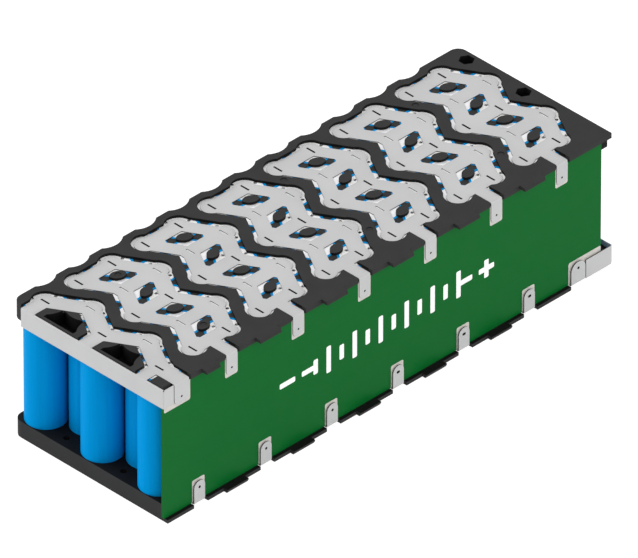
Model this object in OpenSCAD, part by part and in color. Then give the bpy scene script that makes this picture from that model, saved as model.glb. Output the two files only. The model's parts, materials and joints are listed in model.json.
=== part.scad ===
// Electric bicycle battery pack. Sixty-five round cells stand in two moulded
// holders, in thirteen groups of five. Folded nickel strips join the groups
// and reach a protection board that lies along one long side.
// X runs along the pack, the board is on the -Y side, and Z = 0 is the underside.

/* [Cells] */
// Diameter of a cell over its sleeve
cell_d = 18.5; // [17:0.1:21]
// Length of a cell over its sleeve
cell_len = 65.2; // [55:0.1:71]
// Space between neighbouring cells
cell_gap = 0.9; // [0.6:0.1:1.6]
// Wall of the shrink sleeve
sleeve_t = 0.15; // [0.1:0.05:0.25]
// Width of the sleeve's rim over each cell end
sleeve_rim = 1.05; // [0.6:0.05:1.5]
// Radius of the raised cap on the positive end
cap_r = 3.4; // [2.6:0.1:4]
// Depth of the groove between the cap and the crimped edge
cap_groove = 1.4; // [0.8:0.1:2]
// Thickness of the insulating washer on the positive end
washer_t = 0.1; // [0.1:0.05:0.3]
// Diameter of the vents in the washer
vent_d = 1.6; // [1:0.1:2]

/* [Holders] */
// Height of one holder, ridges included
holder_h = 8.2; // [7:0.1:14]
// Height of the ridges above the strips
ridge_h = 1; // [0.6:0.1:2]
// Width of the ridges between strips
ridge_w = 5.6; // [4:0.1:6.4]
// Radial clearance of a cell in its socket
socket_gap = 0.1; // [0.05:0.05:0.2]
// Length of the oval post in each window
post_l = 7.6; // [6:0.1:9]
// Width of the post
post_w = 5.2; // [3:0.1:5.8]
// Radius of the post's long sides
post_side_r = 4.5; // [4:0.1:8]
// Slant of the post
post_slant = 22; // [0:1:30]
// Radius of the holder's corners
corner_r = 4.5; // [2:0.5:5]
// Wall between the board and the nearest sockets
board_wall = 1.65; // [1:0.05:3]
// Thickness of the flange above the board
upper_flange_t = 2.6; // [1.8:0.1:3.4]
// Thickness of the flange below the board
lower_flange_t = 1.7; // [1.4:0.1:2.4]
// How far the upper flange reaches past the board's face
upper_lip = 0.7; // [0.5:0.1:2]
// How far the lower flange reaches past the board's face
lower_lip = 1.7; // [0.5:0.1:2]
// How far the tongues reach past the board's face
tongue_reach = 3.4; // [2.8:0.1:5]
// Length of the tongue's pointed nose
tongue_nose = 0.6; // [0.3:0.1:1]
// Height of the tongue's flat tip
tongue_tip = 0.5; // [0.3:0.1:0.8]
// Width of a tongue
tongue_w = 12.2; // [8:0.1:16]
// Width of the narrow tongue beside the first tab
short_tongue_w = 8.1; // [5:0.1:12]
// Distance of the front tie rod holes from the front end
front_inset = 5.4; // [5:0.1:5.8]
// Distance of the rear tie rod holes from the rear end
rear_inset = 4.8; // [4.6:0.1:5.2]
// Diameter of the tie rod holes
rod_hole_d = 3.2; // [2.5:0.1:3.4]
// Width of the nut pockets across their flats
nut_w = 6.2; // [5.6:0.1:6.4]
// Depth of the nut pockets and of the seats for the screw heads
nut_depth = 3.9; // [2:0.1:5]
// Floor left under the front pockets
pocket_floor = 1; // [0.8:0.1:2]
// Wall between the front pockets and the end
pocket_wall = 0.7; // [0.6:0.05:1]
// Wall between the front pockets and the sockets
pocket_rib = 1.35; // [0.7:0.05:1.6]
// Width of the front pockets along the end
pocket_w = 17.6; // [10:0.1:19]
// Diameter of the moulding marks
mark_d = 3.1; // [2:0.1:4]
// Depth of the moulding marks
mark_depth = 0.3; // [0.1:0.1:0.6]
// Diameter of the dimples on the lower tongues
dimple_d = 0.8; // [0.4:0.1:1.2]
// Wall between the board and the corner where an end flange wraps round
corner_wall = 0.8; // [0.4:0.1:1.2]

/* [Strips] */
// Thickness of the nickel strip
strip_t = 0.3; // [0.15:0.05:0.5]
// Width of the slanted bands from row to row
band_w = 7.2; // [5:0.1:8]
// Width of the slanted bands of an end strip
end_band_w = 8.4; // [6:0.1:9]
// Width of the bars along the pack
bar_w = 7.4; // [5:0.1:8]
// Distance of the outer edge of an end strip's last bar from the cells' line
last_bar_edge = 2.4; // [1.5:0.1:3.5]
// Radius of the round weld pads over the cells
lobe_r = 4.9; // [4.3:0.1:5.4]
// Radius that rounds the long ends of the windows
window_r = 8.1; // [7:0.1:9]
// Clearance between a strip's edge and the holder
strip_gap = 0.9; // [0.5:0.1:1.2]
// Inner radius of the folds
fold_r = 0.3; // [0.2:0.05:0.5]
// Length of the weld slots
slot_l = 4.8; // [3:0.1:6]
// Width of the weld slots
slot_w = 0.8; // [0.4:0.1:1.2]
// Width of a tab
tab_w = 6.3; // [4:0.1:8]
// Width of the tab at each end of the pack
end_tab_w = 8.4; // [6:0.1:9]
// Length of a tab below its fold
tab_l = 10.8; // [9:0.1:14]
// Radius of the corners of an upper tab
tab_corner = 2.6; // [1:0.1:2.9]
// Distance of the tab's hole from its fold
tab_hole_at = 7.6; // [5:0.1:8]
// Diameter of the hole in a tab
tab_hole_d = 1; // [0.6:0.1:2]
// Space behind the tabs of the lower strips
lower_tab_gap = 0.5; // [0:0.05:0.8]
// Depth of the flange folded over each end
end_fold_h = 9.3; // [6:0.1:12]
// Space between an end flange and the holder's end
end_fold_gap = 0.5; // [0.2:0.1:0.8]
// How far the front flange wraps onto the board's side
front_wrap = 5.9; // [4:0.1:6]
// How far the rear flange wraps onto the board's side
rear_wrap = 15.6; // [10:0.1:15.6]

/* [Board] */
// Thickness of the protection board
board_t = 1.6; // [0.8:0.1:2]
// Clearance around the board
board_gap = 0.1; // [0.05:0.05:0.3]
// How far the board stops short of the rear end
board_short = 5.3; // [2:0.1:8]
// Thickness of the solder pads
pad_t = 0.05; // [0.03:0.01:0.1]
// Margin of a pad beside its tab
pad_side = 0.5; // [0.3:0.1:1]
// Margin of a pad past the end of its tab
pad_end = 1; // [0.5:0.1:2]
// Radius of a pad's corners
pad_corner = 0.9; // [0.4:0.1:1.4]
// Length and width of a power transistor
fet_size = 6.4; // [5:0.1:7]
// Height of a power transistor
fet_h = 2.3; // [1:0.1:2.6]
// Width of the control chip
chip_size = 7; // [5:0.1:8]
// Height of the control chip
chip_h = 1.4; // [0.8:0.1:2]
// Length of a resistor
resistor_l = 6.3; // [3:0.1:7]
// Width of a resistor
resistor_w = 3.2; // [1.6:0.1:3.6]
// Height of a resistor
resistor_h = 0.6; // [0.4:0.1:1.2]

/* [Hidden] */

// Thirteen groups in series, five cells side by side in each
column_count = 13;
row_count = 5;
// Smoothness of round shapes
$fn = 48;
// Small overlap where one shape of a solid runs into the next
lap = 0.5;
// How far a cutter runs past the face that it cuts
past = 1;
// Hair's breadth between a can and what is fitted round it
hair = 0.02;

// Cell array
pitch = cell_d + cell_gap;
row_gap = pitch * sin(60);
cell_r = cell_d / 2;
socket_r = cell_r + socket_gap;
half_length = (column_count + 0.5) * pitch / 2;
// Distances from the middle row to the far edge and to the faces on the board's side
far_reach = 2 * row_gap + pitch / 2;
skirt_reach = 2 * row_gap + socket_r + board_wall;
board_inner = skirt_reach + 2 * board_gap;
board_outer = board_inner + board_t;
pad_face = board_outer + pad_t;
tip_reach = board_outer + tongue_reach + tongue_nose;
// The middle row is set off the middle plane, so that the whole pack is centred
middle_y = (tip_reach - far_reach) / 2;
far_y = middle_y + far_reach;
skirt_y = middle_y - skirt_reach;
board_y = middle_y - board_outer;

// Heights
pack_h = cell_len + 2 * (strip_t + ridge_h);
cell_z = ridge_h + strip_t;
cell_top = pack_h - cell_z;
strip_top = pack_h - ridge_h;
holder_under = pack_h - holder_h;

// Half widths of the slanted bands, measured along the pack, and of the channels around the strips
band_dx = band_w / 2 / sin(60);
end_band_dx = end_band_w / 2 / sin(60);
link_channel = (pitch * sin(60) - ridge_w) / 2;
bar_channel = bar_w / 2 + strip_gap;
lobe_room = 0.4;
lobe_channel = max(lobe_r + strip_gap, link_channel) + lobe_room;
fold_outer_r = fold_r + strip_t;

// Faces of the cell's can
can_r = cell_r - sleeve_t - hair;
crimp_z = cell_len - sleeve_t - washer_t;
crimp_r = 0.75 * can_r;
crimp_slope = 0.3;
cap_slope = 0.4;
washer_room = 0.6;
washer_hole_r = cap_r + washer_room;
vent_angles = [0, 107, -107];

// Folds and board ends
front_x = -half_length;
rear_x = half_length;
fold_out = half_length + end_fold_gap + strip_t;
board_front = front_x - end_fold_gap + board_gap;
board_rear = rear_x - board_short;
upper_tab_y = middle_y - pad_face - strip_t;
lower_tab_y = upper_tab_y - lower_tab_gap;
// Corner radius of the round-ended lower tabs, as a share of their width
round_end = 0.49;

// Heights of the rows of parts on the board's inner face
switch_z = 0.42 * pack_h;
balance_z = 0.72 * pack_h;

// Cells beside which the holders carry moulding marks
mark_columns = [2, 7, 11];
mark_rows = [1, 4];

function cell_x(c, r) = front_x + pitch / 2 + (c - 1) * pitch + (r % 2 == 0 ? pitch / 2 : 0);
function row_y(r) = middle_y + (3 - r) * row_gap;
// Where the line from a cell to its neighbour in the next row crosses the height y
function line_x(c, r, y) =
    cell_x(c, r) + (cell_x(c, r + 1) - cell_x(c, r)) * (row_y(r) - y) / row_gap;
function zigzag(c, dx) = [for (r = [1:row_count]) [cell_x(c, r) + dx, row_y(r)]];
function backwards(list) = [for (i = [len(list) - 1:-1:0]) list[i]];
function arc(x, y, radius, from, to) =
    [for (i = [0:6]) let (a = from + (to - from) * i / 6) [x + radius * cos(a), y + radius * sin(a)]];
// Slanted window between four cells, with its sides dx from the lines and dy from its middle
function diamond(c, r, dx, dy) =
    let (high = (row_y(r) + row_y(r + 1)) / 2 + dy, low = high - 2 * dy)
    [[line_x(c, r, high) + dx, high], [line_x(c + 1, r, high) - dx, high],
     [line_x(c + 1, r, low) - dx, low], [line_x(c, r, low) + dx, low]];
function diamond_centre(c, r) =
    let (y = (row_y(r) + row_y(r + 1)) / 2) [(line_x(c, r, y) + line_x(c + 1, r, y)) / 2, y];
// Groups that each strip joins, and where its tab stands
upper_groups = [[1, 1], [2, 3], [4, 5], [6, 7], [8, 9], [10, 11], [12, 13]];
lower_groups = [[1, 2], [3, 4], [5, 6], [7, 8], [9, 10], [11, 12], [13, 13]];
function tab_x(g) = (cell_x(g[0], row_count) + cell_x(g[1], row_count)) / 2;
function tab_width(g) = g[0] == g[1] ? end_tab_w : tab_w;
// Rows with a bar that runs to the end that a single strip is folded over
function end_rows(g) = g[0] == 1 ? [1, 3, 5] : [2, 4, 5];
function end_edge(g) = g[0] == 1 ? front_x : rear_x;

// Turns a top piece into the matching bottom one
module turned_over() {
    translate([0, 0, pack_h])
        mirror([0, 0, 1])
            children();
}

module box_between(low, high) {
    translate(low)
        cube(high - low);
}

// Outline of the block that holds the sockets, with a hollow for each missing cell of the next row
module skirt_outline() {
    x = half_length - corner_r;
    difference() {
        polygon(concat(
            arc(x, far_y - corner_r, corner_r, 0, 90),
            arc(-x, far_y - corner_r, corner_r, 90, 180),
            [[-half_length, skirt_y], [half_length, skirt_y]]));
        for (c = [1:column_count - 1])
            translate([cell_x(c, 2), row_y(0)])
                circle(socket_r);
    }
}

// Shelf beside the board, with notches for the tabs and a free corner where an end flange wraps round
module flange_outline(groups, lip) {
    end = [for (g = groups) if (g[0] == g[1]) g][0];
    side = sign(end_edge(end));
    outer_y = board_y - lip;
    difference() {
        translate([-half_length, outer_y])
            square([2 * half_length, skirt_y - outer_y + lap]);
        for (g = groups)
            notch(g);
        translate([side > 0 ? tab_x(end) : front_x - past, outer_y - past])
            square([abs(end_edge(end) - tab_x(end)) + past, skirt_y - corner_wall - outer_y + past]);
    }
}

// Gap that a tab passes through
module notch(g) {
    w = tab_width(g) + 2 * strip_gap;
    translate([tab_x(g) - w / 2, board_y - tongue_reach])
        square([w, row_y(row_count) - board_y + tongue_reach]);
}

// Room for the band between two cells of neighbouring rows
module link(c, r, half_w) {
    translate([cell_x(c, r), row_y(r)])
        rotate(r % 2 == 1 ? -60 : -120)
            translate([0, -half_w])
                square([pitch, 2 * half_w]);
}

// Room for one strip between the ridges
module channel(g) {
    polygon(concat(zigzag(g[0], -lap), backwards(zigzag(g[1], lap))));
    for (c = [g[0], g[1]]) {
        for (r = [1:row_count - 1])
            link(c, r, link_channel);
        for (r = [1:row_count])
            translate([cell_x(c, r), row_y(r)])
                circle(lobe_channel);
    }
    if (g[0] == g[1])
        for (r = end_rows(g))
            bar(cell_x(g[0], r), end_edge(g) + sign(end_edge(g)) * past, r, bar_channel, bar_channel);
    else
        for (r = [1, row_count])
            bar(cell_x(g[0], r), cell_x(g[1], r), r, bar_channel, bar_channel);
    notch(g);
}

// Straight bar along row r, from one x to another, as wide as inner above the row's line and outer below
module bar(x0, x1, r, inner, outer) {
    translate([min(x0, x1), row_y(r) - outer])
        square([abs(x1 - x0), inner + outer]);
}

// Raised post in a strip's window, where four cells meet
module post(c, r) {
    off = post_side_r - post_w / 2;
    translate(diamond_centre(c, r))
        rotate(r % 2 == 1 ? -post_slant : post_slant)
            intersection() {
                circle(post_l / 2);
                translate([0, off])
                    circle(post_side_r);
                translate([0, -off])
                    circle(post_side_r);
            }
}

// Tongue that a cover snaps over, flush with the outer face and as thick as the lower flange
module tongue(x, w) {
    nose_y = board_y - tongue_reach;
    low_z = pack_h - lower_flange_t;
    translate([x - w / 2, 0, 0])
        rotate([90, 0, 90])
            linear_extrude(w)
                polygon([[board_y, pack_h], [nose_y, pack_h], [nose_y - tongue_nose, low_z + tongue_tip],
                    [nose_y - tongue_nose, low_z], [board_y, low_z]]);
}

// One tongue in each full bay between two tabs, and a narrow one beside the front tab
module tongues(groups) {
    for (i = [0:len(groups) - 2])
        if (groups[i][0] != groups[i][1] && groups[i + 1][0] != groups[i + 1][1])
            tongue((tab_x(groups[i]) + tab_x(groups[i + 1])) / 2, tongue_w);
    if (groups[0][0] == groups[0][1])
        tongue((tab_x(groups[0]) + end_tab_w / 2 + tab_x(groups[1]) - tab_w / 2) / 2, short_tongue_w);
}

// Wavy pocket at the front, between three cells and the end wall
module front_pocket(r) {
    translate([0, 0, holder_under + pocket_floor])
        linear_extrude(holder_h)
            difference() {
                translate([front_x + pocket_wall, row_y(r) - pocket_w / 2])
                    square([pitch, pocket_w]);
                for (i = [-1:1])
                    translate([cell_x(1, r + i), row_y(r + i)])
                        circle(socket_r + pocket_rib);
                translate([cell_x(1, r), row_y(r) - pocket_w])
                    square([pitch, 2 * pocket_w]);
            }
}

module rod_hole(x, y) {
    translate([x, y, holder_under - past])
        cylinder(d = rod_hole_d, h = holder_h + 2 * past);
}

// Seat for a hexagonal nut, or a round one for a screw's head
module rod_seat(x, y, sides) {
    translate([x, y, pack_h - nut_depth])
        rotate([0, 0, 30])
            cylinder(d = nut_w / cos(30), h = nut_depth + past, $fn = sides);
}

// Dimple on the inner face of a tongue
module dimple(x) {
    translate([x, board_y - lower_lip / 2 - dimple_d / 4, pack_h - lower_flange_t])
        cylinder(d = dimple_d, h = dimple_d, center = true);
}

module mark(c, r) {
    at = diamond_centre(c, r);
    translate([at[0], at[1], pack_h - mark_depth])
        cylinder(d = mark_d, h = past);
}

// Moulded holder for the strips in groups, drawn as the top one
module holder(groups, flange_t, lip) {
    difference() {
        union() {
            translate([0, 0, holder_under])
                linear_extrude(cell_top - holder_under)
                    difference() {
                        skirt_outline();
                        for (c = [1:column_count], r = [1:row_count])
                            translate([cell_x(c, r), row_y(r)])
                                circle(socket_r);
                    }
            translate([0, 0, cell_top])
                linear_extrude(pack_h - cell_top) {
                    difference() {
                        skirt_outline();
                        for (g = groups)
                            channel(g);
                    }
                    for (g = groups, r = [1:row_count - 1])
                        if (g[0] != g[1])
                            post(g[0], r);
                }
            translate([0, 0, pack_h - flange_t])
                linear_extrude(flange_t)
                    flange_outline(groups, lip);
            tongues(groups);
        }
        for (r = [2, 4]) {
            if (groups == upper_groups)
                front_pocket(r);
            else
                rod_seat(front_x + front_inset, row_y(r), $fn);
            rod_hole(front_x + front_inset, row_y(r));
        }
        for (r = [1, 3]) {
            rod_seat(rear_x - rear_inset, row_y(r), groups == upper_groups ? 6 : $fn);
            rod_hole(rear_x - rear_inset, row_y(r));
        }
        for (c = mark_columns, r = mark_rows)
            mark(c, r);
        if (groups == lower_groups)
            for (i = [0:len(groups) - 3])
                dimple((tab_x(groups[i]) + tab_x(groups[i + 1])) / 2);
    }
}

// Weld slots over the cells of one strip
module weld_slots(g) {
    for (c = [g[0]:g[1]], r = [1:row_count])
        translate([cell_x(c, r) - slot_w / 2, row_y(r) - slot_l / 2])
            square([slot_w, slot_l]);
}

module lobes(g) {
    for (c = [g[0]:g[1]], r = [1:row_count])
        translate([cell_x(c, r), row_y(r)])
            circle(lobe_r);
}

// Flat sheet of a strip that joins two groups
module double_sheet(g) {
    difference() {
        union() {
            polygon(concat(zigzag(g[0], -band_dx), backwards(zigzag(g[1], band_dx))));
            for (r = [1, row_count])
                bar(cell_x(g[0], r), cell_x(g[1], r), r, bar_w / 2, bar_w / 2);
            lobes(g);
        }
        for (r = [1:row_count - 1])
            intersection() {
                polygon(diamond(g[0], r, band_dx, row_gap / 2 - bar_w / 2));
                translate(diamond_centre(g[0], r))
                    circle(window_r);
            }
        weld_slots(g);
    }
}

// Flat sheet of a strip at one end, with bars that run to the fold
module end_sheet(g) {
    difference() {
        union() {
            end_band(g);
            for (r = end_rows(g))
                bar(cell_x(g[0], r), sign(end_edge(g)) * (fold_out - strip_t / 2), r,
                    bar_w / 2, r == row_count ? last_bar_edge : bar_w / 2);
            lobes(g);
        }
        end_windows(g);
        weld_slots(g);
    }
}

module end_band(g) {
    polygon(concat(zigzag(g[0], -end_band_dx), backwards(zigzag(g[0], end_band_dx))));
}

// Windows between the bars of an end strip, from its band to its fold
module end_windows(g) {
    list = end_rows(g);
    side = sign(end_edge(g));
    inner_x = cell_x(g[0], side > 0 ? 1 : 2);
    difference() {
        for (i = [0:len(list) - 2])
            translate([min(inner_x, side * fold_out), row_y(list[i + 1]) + bar_w / 2])
                square([abs(side * fold_out - inner_x), row_y(list[i]) - row_y(list[i + 1]) - bar_w]);
        end_band(g);
    }
}

// Cross-section of a quarter bend, with the sheet's outer faces on the two axes
module bend() {
    translate([fold_outer_r, -fold_outer_r])
        difference() {
            circle(fold_outer_r);
            circle(fold_r);
            translate([0, -past])
                square(2 * past);
            translate([-past, -2 * past])
                square(2 * past);
        }
}

// Plate that hangs from y = 0 with its two lower corners round
module flap(w, l, corner) {
    translate([-w / 2, corner - l])
        square([w, l - corner]);
    for (s = [-1, 1])
        translate([s * (w / 2 - corner), corner - l])
            circle(corner);
    translate([corner - w / 2, -l])
        square([w - 2 * corner, 2 * corner]);
}

// Tab that leaves the sheet at row five and folds down at tab_y
module tab(g, tab_y, corner) {
    w = tab_width(g);
    translate([tab_x(g), tab_y, strip_top]) {
        translate([-w / 2, fold_outer_r, -strip_t])
            cube([w, row_y(row_count) - tab_y - fold_outer_r, strip_t]);
        translate([-w / 2, 0, 0])
            rotate([90, 0, 90])
                linear_extrude(w)
                    bend();
        translate([0, strip_t, 0])
            rotate([90, 0, 0])
                linear_extrude(strip_t)
                    difference() {
                        translate([0, -fold_outer_r])
                            flap(w, tab_l - fold_outer_r, corner);
                        translate([0, -tab_hole_at])
                            circle(d = tab_hole_d);
                    }
    }
}

// Strip between two groups, drawn as a top one
module double_strip(g, tab_y, corner) {
    translate([0, 0, strip_top - strip_t])
        linear_extrude(strip_t)
            double_sheet(g);
    tab(g, tab_y, corner);
}

// Flange along the front end, which turns a corner at side_y and ends there after wrap
module end_flange(top_y, side_y, wrap) {
    drop = end_fold_h - fold_outer_r;
    run = top_y - side_y - fold_outer_r;
    translate([-fold_out, side_y, strip_top]) {
        translate([0, fold_outer_r, -end_fold_h])
            cube([strip_t, run, drop]);
        translate([fold_outer_r, 0, -end_fold_h])
            cube([wrap - fold_outer_r, strip_t, end_fold_h]);
        translate([0, run + fold_outer_r, 0])
            rotate([90, 0, 0])
                linear_extrude(run)
                    bend();
        translate([0, 0, -end_fold_h])
            linear_extrude(drop)
                mirror([0, 1])
                    bend();
    }
}

// Strip at one end, with a flange folded over the end and around the board's corner
module end_strip(g, tab_y, wrap, corner) {
    side = sign(end_edge(g));
    top_row = min(end_rows(g));
    translate([0, 0, strip_top - strip_t])
        linear_extrude(strip_t)
            end_sheet(g);
    tab(g, tab_y, corner);
    mirror([side > 0 ? 1 : 0, 0, 0])
        end_flange(row_y(top_row) + bar_w / 2, tab_y, wrap);
}

module top_holder() {
    color([0.2, 0.2, 0.2])
        holder(upper_groups, upper_flange_t, upper_lip);
}

module bottom_holder() {
    color([0.2, 0.2, 0.2])
        turned_over()
            holder(lower_groups, lower_flange_t, lower_lip);
}

module top_strip(i) {
    g = upper_groups[i - 1];
    color([0.78, 0.78, 0.78])
        if (g[0] == g[1])
            end_strip(g, upper_tab_y, front_wrap, tab_corner);
        else
            double_strip(g, upper_tab_y, tab_corner);
}

module bottom_strip(i) {
    g = lower_groups[i - 1];
    corner = round_end * tab_width(g);
    color([0.78, 0.78, 0.78])
        turned_over()
            if (g[0] == g[1])
                end_strip(g, lower_tab_y, rear_wrap, corner);
            else
                double_strip(g, lower_tab_y, corner);
}

module protection_board() {
    color([0.11, 0.4, 0.19])
        difference() {
            box_between([board_front, board_y, lower_flange_t + board_gap],
                [board_rear, middle_y - board_inner, pack_h - upper_flange_t - board_gap]);
            tab_holes();
        }
}

// Holes through the board and its pads, in line with the holes in all the tabs
module tab_holes() {
    line_of_holes(upper_groups);
    turned_over()
        line_of_holes(lower_groups);
}

module line_of_holes(groups) {
    for (g = groups)
        translate([tab_x(g), middle_y - board_inner + past, strip_top - tab_hole_at])
            rotate([90, 0, 0])
                cylinder(d = tab_hole_d, h = board_t + 2 * past);
}

// Pad from the board's upper edge to just past the end of a tab
module pad(x0, x1, flange_t) {
    top_z = pack_h - flange_t - board_gap;
    translate([(x0 + x1) / 2, board_y, top_z])
        rotate([90, 0, 0])
            linear_extrude(pad_t)
                flap(x1 - x0, top_z - strip_top + tab_l + pad_end, pad_corner);
}

module board_pads() {
    half = tab_w / 2 + pad_side;
    end_half = end_tab_w / 2 + 2 * pad_side;
    color([0.8, 0.79, 0.77])
        difference() {
            union() {
                for (g = upper_groups)
                    if (g[0] != g[1])
                        pad(tab_x(g) - half, tab_x(g) + half, upper_flange_t);
                    else
                        pad(board_front + board_gap, tab_x(g) + end_half, upper_flange_t);
                turned_over()
                    for (g = lower_groups)
                        if (g[0] != g[1])
                            pad(tab_x(g) - half, tab_x(g) + half, lower_flange_t);
                        else
                            pad(tab_x(g) - end_half, board_rear - board_gap, lower_flange_t);
            }
            tab_holes();
        }
}

// Stands a part on the board's inner face at x and z, with its height along +Y
module on_board(x, z) {
    translate([x, middle_y - board_inner, z])
        rotate([-90, 0, 0])
            children();
}

// Middle of the hollow between two cells of row five
function valley_x(k) = cell_x(k, row_count) + pitch / 2;

module power_transistor() {
    leg_w = fet_size / 6;
    translate([-fet_size / 2, -fet_size / 2, 0]) {
        cube([fet_size, fet_size, fet_h]);
        for (i = [0, 4])
            translate([i * leg_w + leg_w / 2, -fet_size / 3, 0])
                cube([leg_w, fet_size / 3 + lap, fet_h / 4]);
        translate([leg_w / 2, fet_size - lap, 0])
            cube([fet_size - leg_w, fet_size / 6 + lap, fet_h / 4]);
    }
}

module power_transistors() {
    color([0.12, 0.12, 0.13])
        for (k = [3:10])
            on_board(valley_x(k), switch_z)
                power_transistor();
}

module resistor() {
    translate([-resistor_l / 2, -resistor_w / 2, 0])
        cube([resistor_l, resistor_w, resistor_h]);
}

module current_shunts() {
    color([0.35, 0.33, 0.3])
        for (k = [11, 12])
            on_board(valley_x(k), switch_z)
                resistor();
}

module control_chip() {
    color([0.1, 0.1, 0.1])
        on_board(valley_x(2), switch_z)
            translate([-chip_size / 2, -chip_size / 2, 0])
                cube([chip_size, chip_size, chip_h]);
}

module balance_resistors() {
    color([0.1, 0.1, 0.12])
        for (c = [1:column_count])
            on_board(cell_x(c, row_count) + pitch / 4, balance_z)
                resistor();
}

// Places a cell of column c and row r, with the cap up in the odd columns
module stand_cell(c, r) {
    up = c % 2 == 1;
    translate([cell_x(c, r), row_y(r), up ? cell_z : cell_z + cell_len])
        mirror([0, 0, up ? 0 : 1])
            children();
}

// Sealed cell with its cap inside the crimped edge
module can() {
    base_r = cell_r - sleeve_rim - hair;
    rotate_extrude()
        polygon([[0, 0], [base_r, 0], [base_r, sleeve_t], [can_r, sleeve_t], [can_r, crimp_z],
            [crimp_r, crimp_z], [crimp_r - crimp_slope, crimp_z - cap_groove],
            [cap_r + cap_slope, crimp_z - cap_groove], [cap_r, cell_len], [0, cell_len]]);
}

// Shrink sleeve that folds over both ends of the cell
module sleeve() {
    difference() {
        cylinder(r = cell_r, h = cell_len);
        translate([0, 0, sleeve_t])
            cylinder(r = can_r + hair, h = cell_len - 2 * sleeve_t);
        translate([0, 0, -past])
            cylinder(r = cell_r - sleeve_rim, h = cell_len + 2 * past);
    }
}

// Insulating washer between the crimped edge and the sleeve's rim
module washer(turn) {
    translate([0, 0, crimp_z])
        difference() {
            cylinder(r = can_r, h = washer_t);
            translate([0, 0, -past])
                cylinder(r = washer_hole_r, h = washer_t + 2 * past);
            for (a = vent_angles)
                rotate([0, 0, a + turn])
                    translate([(washer_hole_r + cell_r - sleeve_rim) / 2, 0, -past])
                        cylinder(d = vent_d, h = washer_t + 2 * past);
        }
}

module cells_group(c) {
    color([0.82, 0.83, 0.84])
        for (r = [1:row_count])
            stand_cell(c, r)
                can();
}

module cell_sleeves(c) {
    color([0, 0.52, 0.85])
        for (r = [1:row_count])
            stand_cell(c, r)
                sleeve();
}

module washers(first) {
    color([0.95, 0.95, 0.95])
        for (c = [first:2:column_count], r = [1:row_count])
            stand_cell(c, r)
                washer(r % 2 == 0 ? 180 : 0);
}

top_holder();
bottom_holder();
top_strip(1);  // top_strip_1
top_strip(2);  // top_strip_2
top_strip(3);  // top_strip_3
top_strip(4);  // top_strip_4
top_strip(5);  // top_strip_5
top_strip(6);  // top_strip_6
top_strip(7);  // top_strip_7
bottom_strip(1);  // bottom_strip_1
bottom_strip(2);  // bottom_strip_2
bottom_strip(3);  // bottom_strip_3
bottom_strip(4);  // bottom_strip_4
bottom_strip(5);  // bottom_strip_5
bottom_strip(6);  // bottom_strip_6
bottom_strip(7);  // bottom_strip_7
protection_board();
board_pads();
power_transistors();
current_shunts();
control_chip();
balance_resistors();
cells_group(1);  // cells_group_01
cells_group(2);  // cells_group_02
cells_group(3);  // cells_group_03
cells_group(4);  // cells_group_04
cells_group(5);  // cells_group_05
cells_group(6);  // cells_group_06
cells_group(7);  // cells_group_07
cells_group(8);  // cells_group_08
cells_group(9);  // cells_group_09
cells_group(10);  // cells_group_10
cells_group(11);  // cells_group_11
cells_group(12);  // cells_group_12
cells_group(13);  // cells_group_13
cell_sleeves(1);  // cell_sleeves_01
cell_sleeves(2);  // cell_sleeves_02
cell_sleeves(3);  // cell_sleeves_03
cell_sleeves(4);  // cell_sleeves_04
cell_sleeves(5);  // cell_sleeves_05
cell_sleeves(6);  // cell_sleeves_06
cell_sleeves(7);  // cell_sleeves_07
cell_sleeves(8);  // cell_sleeves_08
cell_sleeves(9);  // cell_sleeves_09
cell_sleeves(10);  // cell_sleeves_10
cell_sleeves(11);  // cell_sleeves_11
cell_sleeves(12);  // cell_sleeves_12
cell_sleeves(13);  // cell_sleeves_13
washers(1);  // upper_washers
washers(2);  // lower_washers
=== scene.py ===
# %% [markdown]
# # Electric bicycle battery pack
#
# The pack is an open module: sixty-five blue cells stand in two black moulded holders, folded
# nickel strips join them on top and below, and a green protection board lies along one long
# side. Its solid pieces come ready made at their real size, so this notebook gives them their
# finishes and adds what is printed, plated or soldered on. Working on top of fixed solids keeps
# every size true. The other way would be to model all of it here, but then fits and holes could
# drift apart.

# %% Load the pack
import json
import math

import bpy
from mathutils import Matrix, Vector


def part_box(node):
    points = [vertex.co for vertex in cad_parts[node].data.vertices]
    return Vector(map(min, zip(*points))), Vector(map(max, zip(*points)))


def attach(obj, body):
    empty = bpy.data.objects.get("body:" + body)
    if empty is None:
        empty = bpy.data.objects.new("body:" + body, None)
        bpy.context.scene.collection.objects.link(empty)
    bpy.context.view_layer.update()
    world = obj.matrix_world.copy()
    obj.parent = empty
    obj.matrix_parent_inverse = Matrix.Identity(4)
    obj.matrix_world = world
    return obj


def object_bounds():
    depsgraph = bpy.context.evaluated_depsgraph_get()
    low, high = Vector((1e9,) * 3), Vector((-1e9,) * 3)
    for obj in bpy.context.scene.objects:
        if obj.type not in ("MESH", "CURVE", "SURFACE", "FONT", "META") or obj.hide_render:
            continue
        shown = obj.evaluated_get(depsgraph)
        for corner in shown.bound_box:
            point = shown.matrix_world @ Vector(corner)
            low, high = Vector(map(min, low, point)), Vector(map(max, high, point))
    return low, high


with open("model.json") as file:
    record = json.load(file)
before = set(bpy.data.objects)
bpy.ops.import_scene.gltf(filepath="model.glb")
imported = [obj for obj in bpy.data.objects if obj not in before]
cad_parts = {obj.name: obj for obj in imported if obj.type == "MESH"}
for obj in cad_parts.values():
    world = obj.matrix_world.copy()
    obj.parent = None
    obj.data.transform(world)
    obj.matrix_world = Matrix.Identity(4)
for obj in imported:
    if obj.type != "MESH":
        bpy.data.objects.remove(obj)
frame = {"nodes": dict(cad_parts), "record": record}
nodes = frame["nodes"]
cad_low, cad_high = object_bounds()
print(len(nodes), "solid pieces,", [round(v, 4) for v in cad_high - cad_low], "m overall")

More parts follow.
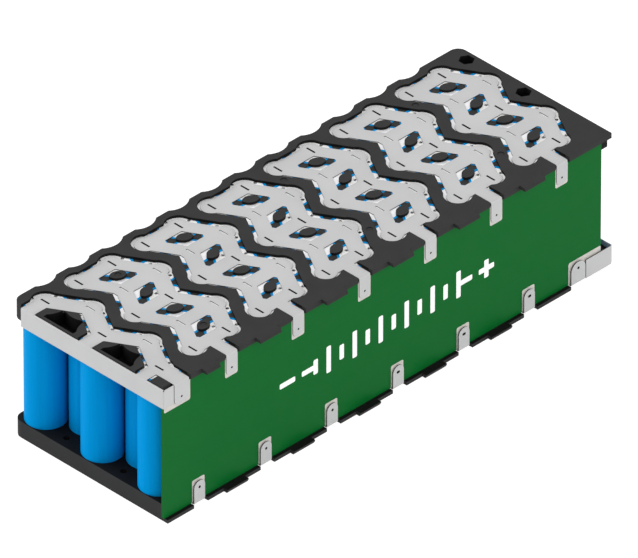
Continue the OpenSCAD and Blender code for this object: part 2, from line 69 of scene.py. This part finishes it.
# %% [markdown]
# ## Camera
#
# The photograph is a plain isometric view with no vanishing points: parallel edges stay
# parallel. An orthographic camera would do the same, but its width would cut the pack in views
# from the side. A very long lens far away gives nearly the same picture and still frames the
# pack from anywhere. The azimuth and the elevation follow from the slopes of the pack's edges in
# the photograph.

# %% Camera at the photograph's angle
MM = 0.001
azimuth = math.radians(-44.92)
elevation = math.radians(35.1)
view_width = 265.83 * MM
view_centre = Vector((4.05, 2.35, 33.3)) * MM
lens = 1400
sensor = 36

towards_camera = Vector((
    math.sin(azimuth) * math.cos(elevation),
    -math.cos(azimuth) * math.cos(elevation),
    math.sin(elevation)))
bpy.ops.object.select_all(action="DESELECT")
bpy.ops.object.camera_add(location=view_centre + towards_camera * view_width * lens / sensor)
camera = bpy.context.object
camera.name = "long_lens"
camera.rotation_euler = (-towards_camera).to_track_quat("-Z", "Y").to_euler()
camera.data.lens = lens
camera.data.sensor_width = sensor
camera.data.clip_start = 0.1
camera.data.clip_end = 100
bpy.context.scene.camera = camera
print("camera", [round(v, 3) for v in camera.location], "m away from the pack's middle")

# %% [markdown]
# ## Light
#
# The picture has soft light: top, end and long side are about equally bright, and each cell
# grows darker where its neighbour stands close. An even white surround gives just that, because
# a gap sees little of it. A soft sun from the left adds the fall of light across each cell, and
# a low one from the right lifts the board and the tabs on it. Lamps close by would leave hot
# spots on the flat strips, so suns were chosen.

# %% Surround and two suns
scene = bpy.context.scene
scene.view_settings.view_transform = "Standard"
surround_strength = 0.88

world = bpy.data.worlds.new("white_surround")
scene.world = world
world.use_nodes = True
tree = world.node_tree
tree.nodes.clear()
lit = tree.nodes.new("ShaderNodeBackground")
lit.inputs["Strength"].default_value = surround_strength
seen = tree.nodes.new("ShaderNodeBackground")
seen.inputs["Strength"].default_value = 1
for shader in (lit, seen):
    shader.inputs["Color"].default_value = (1, 1, 1, 1)


def seen_directly(tree):
    """Socket that is 1 for rays from the camera and in mirrors and glass, and 0 for light."""
    path = tree.nodes.new("ShaderNodeLightPath")
    first = tree.nodes.new("ShaderNodeMath")
    first.operation = "MAXIMUM"
    second = tree.nodes.new("ShaderNodeMath")
    second.operation = "MAXIMUM"
    tree.links.new(path.outputs["Is Camera Ray"], first.inputs[0])
    tree.links.new(path.outputs["Is Glossy Ray"], first.inputs[1])
    tree.links.new(first.outputs[0], second.inputs[0])
    tree.links.new(path.outputs["Is Transmission Ray"], second.inputs[1])
    return second.outputs[0]


choice = tree.nodes.new("ShaderNodeMixShader")
output = tree.nodes.new("ShaderNodeOutputWorld")
tree.links.new(seen_directly(tree), choice.inputs["Fac"])
tree.links.new(lit.outputs[0], choice.inputs[1])
tree.links.new(seen.outputs[0], choice.inputs[2])
tree.links.new(choice.outputs[0], output.inputs["Surface"])


def add_sun(name, comes_from, strength, spread):
    """Sun that shines from a direction, with a spread in degrees that softens its shadows."""
    bpy.ops.object.light_add(type="SUN")
    sun = bpy.context.object
    sun.name = name
    sun.rotation_euler = (-Vector(comes_from)).to_track_quat("-Z", "Y").to_euler()
    sun.data.energy = strength
    sun.data.angle = math.radians(spread)
    return sun


add_sun("left_sun", comes_from=(-0.42, 0.9, 0.45), strength=1.45, spread=40)
add_sun("right_sun", comes_from=(0.45, -0.88, 0.15), strength=1.3, spread=60)

# %% [markdown]
# ## Floor
#
# The object stands alone on white. A floor that only reflects light would turn grey away from
# the lamps, so this one also glows a little for the camera: where nothing shades it, it is
# white, and close to the pack it keeps a soft shadow. For all other rays it is a plain pale
# floor.

# %% White floor
floor_size = 60
floor_drop = 0.05 * MM
floor_glow = 0.88

bpy.ops.mesh.primitive_plane_add(size=floor_size, location=(0, 0, cad_low.z - floor_drop))
floor = bpy.context.object
floor.name = "floor"
floor_paint = bpy.data.materials.new("floor_paint")
floor_paint.use_nodes = True
tree = floor_paint.node_tree
tree.nodes.clear()
plain = tree.nodes.new("ShaderNodeBsdfDiffuse")
plain.inputs["Color"].default_value = (0.9, 0.9, 0.9, 1)
shaded = tree.nodes.new("ShaderNodeBsdfDiffuse")
shaded.inputs["Color"].default_value = (0.32, 0.32, 0.32, 1)
glow = tree.nodes.new("ShaderNodeEmission")
glow.inputs["Strength"].default_value = floor_glow
both = tree.nodes.new("ShaderNodeAddShader")
choice = tree.nodes.new("ShaderNodeMixShader")
output = tree.nodes.new("ShaderNodeOutputMaterial")
tree.links.new(shaded.outputs[0], both.inputs[0])
tree.links.new(glow.outputs[0], both.inputs[1])
tree.links.new(seen_directly(tree), choice.inputs["Fac"])
tree.links.new(plain.outputs[0], choice.inputs[1])
tree.links.new(both.outputs[0], choice.inputs[2])
tree.links.new(choice.outputs[0], output.inputs["Surface"])
floor.data.materials.append(floor_paint)
print("floor", floor_size, "m wide at", round(floor.location.z / MM, 2), "mm")

# %% [markdown]
# ## How the finishes are made
#
# Each finish is a Principled shader. Its colour, roughness and fine relief vary by a pattern in
# Object coordinates, which are metres here, so a grain of half a millimetre is a scale of about
# 2000. Patterns in Object coordinates need no unwrapping, stay put when the view moves, and run
# on from one piece to the next. A photograph wrapped over the pieces would look right from one
# side only.

# %% Helpers for finishes
def srgb(red, green, blue):
    """Colour as read in a picture, from 0 to 255, turned into the shader's linear values."""
    values = [c / 255 for c in (red, green, blue)]
    return [c / 12.92 if c <= 0.04045 else ((c + 0.055) / 1.055) ** 2.4 for c in values] + [1]


def new_finish(name, roughness, metallic=0.0, **sockets):
    """Principled material whose constant values are set on the shader's own sockets."""
    finish = bpy.data.materials.new(name)
    finish.use_nodes = True
    shader = finish.node_tree.nodes["Principled BSDF"]
    shader.inputs["Roughness"].default_value = roughness
    shader.inputs["Metallic"].default_value = metallic
    for socket, value in sockets.items():
        shader.inputs[socket.replace("_", " ")].default_value = value
    return finish


def grain(finish, scale, stretch=(1, 1, 1), detail=4.0):
    """Noise pattern in Object coordinates, finer along the axes with a larger stretch."""
    tree = finish.node_tree
    place = tree.nodes.new("ShaderNodeTexCoord")
    mapping = tree.nodes.new("ShaderNodeMapping")
    mapping.inputs["Scale"].default_value = stretch
    noise = tree.nodes.new("ShaderNodeTexNoise")
    noise.inputs["Scale"].default_value = scale
    noise.inputs["Detail"].default_value = detail
    tree.links.new(place.outputs["Object"], mapping.inputs["Vector"])
    tree.links.new(mapping.outputs["Vector"], noise.inputs["Vector"])
    return noise.outputs["Fac"]


def ramp(finish, value, low, high, start=0.35, end=0.65):
    """Turns a pattern into a colour between low and high."""
    node = finish.node_tree.nodes.new("ShaderNodeValToRGB")
    node.color_ramp.elements[0].position = start
    node.color_ramp.elements[0].color = low
    node.color_ramp.elements[1].position = end
    node.color_ramp.elements[1].color = high
    finish.node_tree.links.new(value, node.inputs["Fac"])
    return node.outputs["Color"]


def spread(finish, value, low, high):
    """Turns a pattern into a number between low and high."""
    node = finish.node_tree.nodes.new("ShaderNodeMapRange")
    node.inputs["From Min"].default_value = 0.3
    node.inputs["From Max"].default_value = 0.7
    node.inputs["To Min"].default_value = low
    node.inputs["To Max"].default_value = high
    finish.node_tree.links.new(value, node.inputs["Value"])
    return node.outputs["Result"]


def relief(finish, value, height):
    """Fine bumps as high as height, in metres."""
    node = finish.node_tree.nodes.new("ShaderNodeBump")
    node.inputs["Strength"].default_value = 1
    node.inputs["Distance"].default_value = height
    finish.node_tree.links.new(value, node.inputs["Height"])
    return node.outputs["Normal"]


def plug(finish, socket, output):
    """Links a pattern to one socket of the finish's shader."""
    shader = finish.node_tree.nodes["Principled BSDF"]
    finish.node_tree.links.new(output, shader.inputs[socket])


# %% [markdown]
# ## Moulded holders
#
# The holders are injection moulded in black flame-proof plastic. The outside of their mould was
# spark eroded, which leaves a fine even grain: a noise gives it as relief, and a slow one
# changes the black by a few per cent, as the flow of the melt does. The walls of the sockets,
# channels and pockets, and the faces deeper in, get painted shade: a much darker black that
# stands in for the little light reaching these hollows.
#
# The grained black and the painted shade are on one mesh, so a mask in Object coordinates tells
# them apart. It is 1 on walls below the ridges' tops and on any face that lies deeper, inside
# the holder's outline, and on each face that looks into the pack. A second material on chosen
# faces would do as well, but the solids' meshes stay untouched.

# %% Measures of the pack
middle = (cad_low + cad_high) / 2
holder_low, holder_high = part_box("top_holder")
can_low, can_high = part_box("cells_group_01")
board_low, board_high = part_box("protection_board")
strip_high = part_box("top_strip_2")[1]
column_count = 13
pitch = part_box("cells_group_02")[0].x - can_low.x
row_gap = pitch * math.sin(math.radians(60))
can_radius = (can_high.y - can_low.y - 4 * row_gap) / 2
print("pitch", round(pitch / MM, 2), "mm, can radius", round(can_radius / MM, 2), "mm")


# %% Helpers for masks
def maths(finish, operation, *values):
    """Math node of a kind, with numbers or other nodes' outputs as its inputs."""
    tree = finish.node_tree
    node = tree.nodes.new("ShaderNodeMath")
    node.operation = operation
    for socket, value in zip(node.inputs, values):
        if isinstance(value, (int, float)):
            socket.default_value = value
        else:
            tree.links.new(value, socket)
    return node.outputs[0]


def between(finish, value, low, high):
    """1 where the value lies between low and high, and 0 elsewhere."""
    return maths(finish, "COMPARE", value, (low + high) / 2, (high - low) / 2)


def mixed(finish, mask, plain_colour, masked_colour):
    """The first colour where the mask is 0, and the second where it is 1."""
    tree = finish.node_tree
    node = tree.nodes.new("ShaderNodeMix")
    node.data_type = "RGBA"
    colours = [socket for socket in node.inputs if socket.type == "RGBA"]
    tree.links.new(mask, node.inputs["Factor"])
    tree.links.new(plain_colour, colours[0])
    tree.links.new(masked_colour, colours[1])
    return [socket for socket in node.outputs if socket.type == "RGBA"][0]


def place_and_facing(finish):
    """Where a point of the surface lies and which way it faces, each split into X, Y and Z."""
    tree = finish.node_tree
    source = tree.nodes.new("ShaderNodeTexCoord")
    both = []
    for name in ("Object", "Normal"):
        split = tree.nodes.new("ShaderNodeSeparateXYZ")
        tree.links.new(source.outputs[name], split.inputs[0])
        both.append(split.outputs)
    return both


def above_middle(finish, at):
    """Height over the pack's middle, which is negative in its lower half."""
    return maths(finish, "SUBTRACT", at["Z"], middle.z)


# %% Mask of the painted shade on the holders
upright = 0.5
wall_edge = 0.35 * MM
bump_depth = 7 * MM
rim_depth = 0.06 * MM
pocket_depth = 2 * MM


def painted_shade_mask(finish):
    """Mask of the faces that get painted shade: hollow walls, deeper faces, faces into the pack.
    """
    at, facing = place_and_facing(finish)
    along = between(finish, at["X"], holder_low.x + wall_edge, holder_high.x - wall_edge)
    across = between(finish, at["Y"], board_high.y, can_high.y - can_radius + bump_depth)
    inside = maths(finish, "MULTIPLY", along, across)

    height = maths(finish, "ABSOLUTE", above_middle(finish, at))
    reach = holder_high.z - middle.z
    wall = maths(finish, "MULTIPLY", between(finish, facing["Z"], -upright, upright),
                 maths(finish, "LESS_THAN", height, reach - rim_depth))
    deep = maths(finish, "LESS_THAN", height, reach - pocket_depth)
    hollow_mask = maths(finish, "MULTIPLY", inside, maths(finish, "MAXIMUM", wall, deep))

    half = maths(finish, "SIGN", above_middle(finish, at))
    outward = maths(finish, "MULTIPLY", facing["Z"], half)
    inward = maths(finish, "LESS_THAN", outward, -upright)
    return maths(finish, "MAXIMUM", hollow_mask, inward)


# %% Black moulded plastic
black_plastic = new_finish("black_moulded_plastic", roughness=0.62, Specular_IOR_Level=0.08)
flow = grain(black_plastic, scale=90)
grained = ramp(black_plastic, flow, srgb(47, 47, 47), srgb(52, 52, 52))
# Painted shade: a near-black on the walls and floors of the hollows and on faces into the pack.
painted_hollow_black = ramp(black_plastic, flow, srgb(20, 20, 20), srgb(23, 23, 23))
painted_shade_faces = painted_shade_mask(black_plastic)
plug(black_plastic, "Base Color", mixed(black_plastic, painted_shade_faces, grained, painted_hollow_black))
plug(black_plastic, "Roughness", spread(black_plastic, flow, 0.56, 0.68))
spark = grain(black_plastic, scale=5000, detail=2)
plug(black_plastic, "Normal", relief(black_plastic, spark, height=0.012 * MM))
print("made", black_plastic.name)

# %% [markdown]
# ## Nickel strips
#
# The strips are stamped from rolled sheet, so the finest lines run along the roll and the metal
# has a soft, milky shine rather than a mirror's. The noise is drawn out along the pack by a
# Mapping node that shrinks the other two directions. A true mirror would pick up the black
# ridges beside it, and no such reflection shows on the strips, so the metal is mixed with a matt
# base. Along the cut edges of each strip and tab a dark grey is painted shade, which draws a
# fine dark line round them. The same kind of mask finds those edges: upright faces of the flat
# sheet, and the faces of the tabs that look along the pack or end them.

# %% Mask of the painted shade along the cut edges
sheet_depth = 0.35 * MM
fold_room = 4 * MM
end_room = 0.1 * MM
sideways = 0.4


def painted_edge_shade(finish):
    """Mask of the cut edges of the sheet, where shade is painted."""
    at, facing = place_and_facing(finish)
    height = maths(finish, "ABSOLUTE", above_middle(finish, at))
    reach = strip_high.z - middle.z
    along = between(finish, at["X"], holder_low.x + end_room, holder_high.x - end_room)

    flat = maths(finish, "MULTIPLY", maths(finish, "GREATER_THAN", height, reach - sheet_depth),
                 maths(finish, "GREATER_THAN", at["Y"], board_high.y))
    sheet = maths(finish, "MULTIPLY", flat, between(finish, facing["Z"], -upright, upright))

    sides = maths(finish, "GREATER_THAN", maths(finish, "ABSOLUTE", facing["X"]), sideways)
    ends = maths(finish, "MULTIPLY", between(finish, facing["Y"], -upright, upright),
                 maths(finish, "LESS_THAN", height, reach - fold_room))
    tabs = maths(finish, "MULTIPLY", maths(finish, "MAXIMUM", sides, ends),
                 maths(finish, "LESS_THAN", at["Y"], board_high.y))
    return maths(finish, "MULTIPLY", along, maths(finish, "MAXIMUM", sheet, tabs))


# %% Rolled nickel
nickel = new_finish("rolled_nickel", roughness=0.5, metallic=0.12, Specular_IOR_Level=0.2)
rolling = grain(nickel, scale=60, stretch=(1, 30, 30), detail=6)
clouds = grain(nickel, scale=45, detail=2)
rolled = ramp(nickel, clouds, srgb(187, 187, 188), srgb(192, 192, 192))
# Painted shade: dark grey on the cut edges, standing in for the shade along them.
edge_shade_grey = ramp(nickel, rolling, srgb(48, 48, 48), srgb(66, 66, 66))
plug(nickel, "Base Color", mixed(nickel, painted_edge_shade(nickel), rolled, edge_shade_grey))
plug(nickel, "Roughness", spread(nickel, rolling, 0.5, 0.62))
plug(nickel, "Normal", relief(nickel, rolling, height=0.002 * MM))
print("made", nickel.name)

# %% [markdown]
# ## Blue sleeves
#
# Each cell wears a shrunk film of blue plastic. It is dyed through and pulled tight, with a
# satin gloss and faint upright streaks. The streaks are a noise that changes quickly round the
# cell and hardly at all up it.

# %% Blue shrink film
blue_film = new_finish("blue_shrink_film", roughness=0.42, Specular_IOR_Level=0.01)
streaks = grain(blue_film, scale=700, stretch=(1, 1, 0.03), detail=3)
plug(blue_film, "Base Color", ramp(blue_film, streaks, srgb(0, 140, 206), srgb(0, 144, 212)))
plug(blue_film, "Roughness", spread(blue_film, streaks, 0.36, 0.48))
plug(blue_film, "Normal", relief(blue_film, streaks, height=0.01 * MM))
print("made", blue_film.name)

# %% [markdown]
# ## Steel cans and white washers
#
# Between the strips one sees the plated ends of the cans and, on the positive ends, a ring of
# white card. Both are pale. The steel gets the faint marks of tumbling, the card a short fibre.

# %% Plated steel and white card
can_steel = new_finish("plated_steel", roughness=0.4, metallic=0.3)
tumbling = grain(can_steel, scale=900, detail=5)
plug(can_steel, "Base Color", ramp(can_steel, tumbling, srgb(240, 241, 243), srgb(248, 248, 250)))
plug(can_steel, "Roughness", spread(can_steel, tumbling, 0.32, 0.5))

white_card = new_finish("white_card", roughness=0.85, Specular_IOR_Level=0.2)
fibre = grain(white_card, scale=1500, stretch=(1, 3, 1), detail=5)
plug(white_card, "Base Color", ramp(white_card, fibre, srgb(250, 250, 249), srgb(255, 255, 254)))
plug(white_card, "Normal", relief(white_card, fibre, height=0.01 * MM))
print("made", can_steel.name, "and", white_card.name)

# %% [markdown]
# ## Protection board
#
# The board is glass cloth in resin under green lacquer. The weave presses through the lacquer as
# a fine relief, and the copper under it shows as fields that differ from the gaps by a shade or
# two. A brick pattern makes the fields, and a fine noise the weave. The contrast is kept so low
# that the board reads as plain green from afar, as it does in the photograph.

# %% Green solder mask
field_width = 19.4 * MM
field_height = 9.2 * MM
field_gap = 0.25 * MM
field_shift = 2 * MM

green_mask = new_finish("green_solder_mask", roughness=0.4, Specular_IOR_Level=0.05)
tree = green_mask.node_tree
place = tree.nodes.new("ShaderNodeTexCoord")
turn = tree.nodes.new("ShaderNodeMapping")
turn.inputs["Rotation"].default_value = (math.radians(90), 0, 0)
turn.inputs["Location"].default_value = (0, field_shift, 0)
fields = tree.nodes.new("ShaderNodeTexBrick")
fields.inputs["Scale"].default_value = 1
fields.inputs["Brick Width"].default_value = field_width
fields.inputs["Row Height"].default_value = field_height
fields.inputs["Mortar Size"].default_value = field_gap
fields.inputs["Color1"].default_value = srgb(9, 96, 38)
fields.inputs["Color2"].default_value = srgb(9, 95, 38)
fields.inputs["Mortar"].default_value = srgb(8, 94, 37)
tree.links.new(place.outputs["Object"], turn.inputs["Vector"])
tree.links.new(turn.outputs["Vector"], fields.inputs["Vector"])
plug(green_mask, "Base Color", fields.outputs["Color"])
weave = grain(green_mask, scale=1300, stretch=(1, 1, 1.6), detail=1)
plug(green_mask, "Normal", relief(green_mask, weave, height=0.006 * MM))
plug(green_mask, "Roughness", spread(green_mask, grain(green_mask, scale=120), 0.34, 0.46))
print("made", green_mask.name)

# %% [markdown]
# ## Tinned pads and board parts
#
# The pads are copper dipped in tin, warm grey and slightly lumpy. The parts on the board's
# hidden face are black moulded epoxy with a fine sparkle of glass, and the shunts are bare dark
# metal.

# %% Tin, epoxy and shunt metal
dull_tin = new_finish("dull_tin", roughness=0.55, metallic=0.2)
lumps = grain(dull_tin, scale=500, detail=3)
plug(dull_tin, "Base Color", ramp(dull_tin, lumps, srgb(193, 189, 183), srgb(202, 198, 192)))
plug(dull_tin, "Normal", relief(dull_tin, lumps, height=0.02 * MM))

black_epoxy = new_finish("black_epoxy", roughness=0.5)
sparkle = grain(black_epoxy, scale=4000, detail=2)
plug(black_epoxy, "Base Color", ramp(black_epoxy, sparkle, srgb(28, 28, 30), srgb(41, 41, 43)))
plug(black_epoxy, "Roughness", spread(black_epoxy, sparkle, 0.4, 0.6))

shunt_metal = new_finish("shunt_metal", roughness=0.4, metallic=0.8)
scratches = grain(shunt_metal, scale=200, stretch=(1, 1, 20))
bare = ramp(shunt_metal, scratches, srgb(114, 106, 99), srgb(133, 125, 116))
plug(shunt_metal, "Base Color", bare)
plug(shunt_metal, "Roughness", spread(shunt_metal, scratches, 0.3, 0.5))
print("made", dull_tin.name, black_epoxy.name, "and", shunt_metal.name)

# %% Give every solid its finish
finish_of_slot = {
    "holder_plastic": black_plastic,
    "nickel": nickel,
    "board_lacquer": green_mask,
    "tinned_pads": dull_tin,
    "chip_plastic": black_epoxy,
    "shunt_metal": shunt_metal,
    "cell_steel": can_steel,
    "blue_sleeve": blue_film,
    "white_washer": white_card,
}
for part in frame["record"]["subparts"]:
    mesh = nodes[part["node"]].data
    mesh.materials.clear()
    mesh.materials.append(finish_of_slot[part["material_slot"]])

# %% [markdown]
# ## Printed mark on the board
#
# A large white print fills the middle of the board. This one is a plain sign that any
# electronics reader knows: a row of cells drawn as long and short bars on a line, between a
# minus and a plus. Each bar starts as a flat plane on the board. Its corners are rounded by a
# vertex bevel and it is extruded by the thickness of the ink. Where two strokes cross, one has a
# thinner coat, so that no two faces lie in one plane. An image would be blurred up close, and
# would need unwrapping.

# %% White ink
white_ink = new_finish("white_ink", roughness=0.7, Specular_IOR_Level=0.2)
speckle = grain(white_ink, scale=3000, detail=3)
plug(white_ink, "Base Color", ramp(white_ink, speckle, srgb(249, 249, 248), srgb(254, 254, 253)))

ink_t = 0.04 * MM
ink_stroke = 2.6 * MM
ink_corner = 0.6 * MM


def ink_bar(x, z, width, height, thickness=ink_t):
    """One rounded stroke of ink, centred at x and z on the board's outer face."""
    bpy.ops.object.select_all(action="DESELECT")
    bpy.ops.mesh.primitive_plane_add(
        size=1, location=(x, board_low.y, z), rotation=(math.pi / 2, 0, 0))
    bar = bpy.context.object
    bar.scale = (width, height, 1)
    bpy.ops.object.transform_apply(location=True, rotation=True, scale=True)
    bpy.ops.object.mode_set(mode="EDIT")
    bpy.ops.mesh.select_all(action="SELECT")
    bpy.ops.mesh.bevel(offset=ink_corner, offset_type="OFFSET", segments=4, affect="VERTICES")
    bpy.ops.mesh.select_all(action="SELECT")
    bpy.ops.mesh.extrude_region_move(TRANSFORM_OT_translate={"value": (0, -thickness, 0)})
    bpy.ops.mesh.select_all(action="SELECT")
    bpy.ops.mesh.normals_make_consistent(inside=False)
    bpy.ops.object.mode_set(mode="OBJECT")
    return bar


# %% Row of cells between a minus and a plus
mark_left = -64 * MM
mark_right = 62 * MM
mark_z = 34.7 * MM
mark_height = 13.4 * MM
sign_size = 9 * MM
lead = 12 * MM
cell_signs = 6
short_bar = 0.55
thin_coat = 0.7 * ink_t

first_bar = mark_left + sign_size + lead
last_bar = mark_right - sign_size - lead
step = (last_bar - first_bar) / (2 * cell_signs - 1)
strokes = [
    ink_bar(mark_left + sign_size / 2, mark_z, sign_size, ink_stroke),
    ink_bar(mark_right - sign_size / 2, mark_z, sign_size, ink_stroke),
    ink_bar(mark_right - sign_size / 2, mark_z, ink_stroke, sign_size, thin_coat),
    ink_bar(first_bar - lead / 2 + ink_stroke, mark_z, lead - ink_stroke, ink_stroke, thin_coat),
    ink_bar(last_bar + lead / 2 - ink_stroke, mark_z, lead - ink_stroke, ink_stroke, thin_coat),
]
for i in range(2 * cell_signs):
    height = mark_height * (short_bar if i % 2 == 0 else 1)
    strokes.append(ink_bar(first_bar + i * step, mark_z, ink_stroke, height))


def join_pieces(pieces, name, finish):
    """Joins pieces into one mesh with one finish, which rides on the pack."""
    bpy.ops.object.select_all(action="DESELECT")
    for piece in pieces:
        piece.select_set(True)
    bpy.context.view_layer.objects.active = pieces[0]
    if len(pieces) > 1:
        bpy.ops.object.join()
    whole = bpy.context.view_layer.objects.active
    whole.name = name
    whole.data.name = name
    whole.data.materials.clear()
    whole.data.materials.append(finish)
    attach(whole, "root")
    return whole


printed_mark = join_pieces(strokes, "printed_mark", white_ink)
print("printed", len(strokes), "strokes,", len(printed_mark.data.polygons), "faces")

# %% [markdown]
# ## Weld slots
#
# Over each cell the strip has a narrow slot that steers the welding current. In rows one, three
# and five these open slots look black, in the other two rows they look pale. A black lining
# that fills each dark slot and covers its edge by a hair is painted shade, standing in for the
# shade seen down these slots. Each starts as a plane that is rounded and extruded. The cells'
# places come from the boxes of the first two groups, so the linings follow the solids. Painting
# the slots black would be shorter, but strips are one metal sheet.

# %% Painted shade linings in the weld slots
first_x = can_low.x + can_radius
row_one_y = can_high.y - can_radius
dark_rows = (0, 2, 4)

lining_length = 4.9 * MM
lining_width = 0.9 * MM
lining_corner = 0.1 * MM
stands_over = 0.02 * MM
lining_t = strip_high.z - can_high.z + stands_over
print("linings", round(lining_t / MM, 3), "mm thick")


def slot_lining(x, y, z, side):
    """Thin dark strip over a cell's end, facing up where side is 1 and down where it is -1."""
    bpy.ops.object.select_all(action="DESELECT")
    bpy.ops.mesh.primitive_plane_add(size=1, location=(x, y, z))
    lining = bpy.context.object
    lining.scale = (lining_width, lining_length, 1)
    bpy.ops.object.transform_apply(location=True, rotation=True, scale=True)
    bpy.ops.object.mode_set(mode="EDIT")
    bpy.ops.mesh.select_all(action="SELECT")
    bpy.ops.mesh.bevel(offset=lining_corner, offset_type="OFFSET", segments=2, affect="VERTICES")
    bpy.ops.mesh.select_all(action="SELECT")
    bpy.ops.mesh.extrude_region_move(TRANSFORM_OT_translate={"value": (0, 0, side * lining_t)})
    bpy.ops.mesh.select_all(action="SELECT")
    bpy.ops.mesh.normals_make_consistent(inside=False)
    bpy.ops.object.mode_set(mode="OBJECT")
    return lining


# %% Linings over and under every cell of the dark rows
# Painted shade: one near-black finish for the slot linings and for the discs in the tab holes.
shade_fill_black = new_finish("painted_shade_fill", roughness=0.9, Specular_IOR_Level=0.1)
plug(shade_fill_black, "Base Color", ramp(shade_fill_black, grain(shade_fill_black, scale=2500), srgb(9, 9, 10), srgb(20, 20, 20)))
linings = []
for column in range(column_count):
    for row in dark_rows:
        x = first_x + column * pitch
        y = row_one_y - row * row_gap
        linings.append(slot_lining(x, y, can_high.z, 1))
        linings.append(slot_lining(x, y, can_low.z, -1))
painted_slot_shade = join_pieces(linings, "painted_slot_shade", shade_fill_black)
print("lined", len(linings), "slots,", len(painted_slot_shade.data.polygons), "faces")

# %% [markdown]
# ## Holes in the lower tabs
#
# Each tab has a hole through which it is soldered to the board. In the lower tabs the holes look
# black. A thin black disc with a rounded rim fills each of them to just over the sheet: it is
# painted shade, standing in for the shade seen in the holes. The holes' places are read from
# the board, whose only inner corners are those of its holes.

# %% Find the holes in the board
board_rim = 0.5 * MM
hole_room = 3 * MM

holes = {}
for corner in nodes["protection_board"].data.vertices:
    x, _, z = corner.co
    inside = board_low.x + board_rim < x < board_high.x - board_rim
    if inside and board_low.z + board_rim < z < middle.z:
        holes.setdefault(round(x / hole_room), []).append((x, z))
places = [[sum(v[i] for v in ring) / len(ring) for i in (0, 1)] for ring in holes.values()]
print("holes at x =", sorted(round(x / MM, 1) for x, _ in places), "mm")

# %% Painted shade discs in the holes
hole_radius = 0.65 * MM
disc_t = 0.2 * MM
disc_sink = 0.07 * MM
disc_corner = 0.02 * MM
tab_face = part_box("bottom_strip_1")[0].y
discs = []
for x, z in places:
    bpy.ops.object.select_all(action="DESELECT")
    bpy.ops.mesh.primitive_cylinder_add(
        vertices=24, radius=hole_radius, depth=disc_t, rotation=(math.pi / 2, 0, 0),
        location=(x, tab_face + disc_sink, z))
    disc = bpy.context.object
    bpy.ops.object.transform_apply(location=True, rotation=True, scale=True)
    bpy.ops.object.mode_set(mode="EDIT")
    bpy.ops.mesh.select_all(action="SELECT")
    bpy.ops.mesh.bevel(offset=disc_corner, offset_type="OFFSET", segments=1, affect="EDGES")
    bpy.ops.object.mode_set(mode="OBJECT")
    discs.append(disc)
hole_shade_discs = join_pieces(discs, "hole_shade_discs", shade_fill_black)
print("made", len(discs), "discs,", len(hole_shade_discs.data.polygons), "faces")

# %% [markdown]
# ## Terminals of the board's parts
#
# The parts on the board's hidden face are soldered by tinned metal: a cap over each end of a
# resistor, two legs and a cooling tab on each transistor, and a row of pins along two sides of
# the chip. Each is a small block with rounded edges, set over the black solid. The parts' places
# come from their boxes. One block is made for each form, and then copied along the board, which
# is how a pattern is repeated with the least work and no drift.

# %% Rounded blocks and their copies
def block(low, high, corner):
    """Box between two corners, with its edges rounded by a bevel."""
    bpy.ops.object.select_all(action="DESELECT")
    bpy.ops.mesh.primitive_cube_add(size=1, location=(low + high) / 2)
    piece = bpy.context.object
    piece.scale = high - low
    bpy.ops.object.transform_apply(location=True, rotation=True, scale=True)
    bpy.ops.object.mode_set(mode="EDIT")
    bpy.ops.mesh.select_all(action="SELECT")
    bpy.ops.mesh.bevel(offset=corner, offset_type="OFFSET", segments=2, affect="EDGES")
    bpy.ops.object.mode_set(mode="OBJECT")
    return piece


def copies(piece, count, step):
    """The piece and its copies, each one step further along the board."""
    row = [piece]
    for _ in range(count - 1):
        bpy.ops.object.select_all(action="DESELECT")
        row[-1].select_set(True)
        bpy.context.view_layer.objects.active = row[-1]
        bpy.ops.object.duplicate()
        bpy.ops.transform.translate(value=(step, 0, 0))
        bpy.ops.object.transform_apply(location=True, rotation=False, scale=False)
        row.append(bpy.context.object)
    return row


# %% Caps on the resistors
over = 0.04 * MM
cap_length = 1.1 * MM
resistor_length = 6.3 * MM
edge = 0.08 * MM
face_y = board_high.y
low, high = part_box("balance_resistors")
terminals = []
for left in (low.x - over, low.x + resistor_length - cap_length):
    cap = block(Vector((left, face_y, low.z - over)),
                Vector((left + cap_length + over, high.y + over, high.z + over)), edge)
    terminals += copies(cap, column_count, pitch)
print("capped", len(terminals) // 2, "resistors")

# %% Legs and cooling tabs of the transistors
transistor_count = 8
body_size = 6.4 * MM
leg_width = body_size / 6
low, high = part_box("power_transistors")
leg_top = face_y + (high.y - face_y) / 4 + over
tab_height = body_size / 6
for i in (0.5, 4.5):
    left = low.x + i * leg_width
    leg = block(Vector((left - over, face_y, high.z - body_size / 3)),
                Vector((left + leg_width + over, leg_top, high.z + over)), edge)
    terminals += copies(leg, transistor_count, pitch)
tab_right = low.x + body_size - leg_width / 2
tab = block(Vector((low.x + leg_width / 2 - over, face_y, low.z - over)),
            Vector((tab_right + over, leg_top, low.z + tab_height)), edge)
terminals += copies(tab, transistor_count, pitch)
print("added legs and tabs to", transistor_count, "transistors")

# %% Pins of the chip
pins_a_side = 8
pin_width = 0.4 * MM
pin_reach = 1 * MM
pin_height = 0.5 * MM
low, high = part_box("control_chip")
pin_step = (high.z - low.z) / pins_a_side
for left, right in ((low.x - pin_reach, low.x), (high.x, high.x + pin_reach)):
    for i in range(pins_a_side):
        z = low.z + (i + 0.5) * pin_step
        terminals.append(block(Vector((left, face_y, z - pin_width / 2)),
                               Vector((right, face_y + pin_height, z + pin_width / 2)), edge))
board_terminals = join_pieces(terminals, "board_terminals", dull_tin)
print("made", len(terminals), "terminals,", len(board_terminals.data.polygons), "faces")
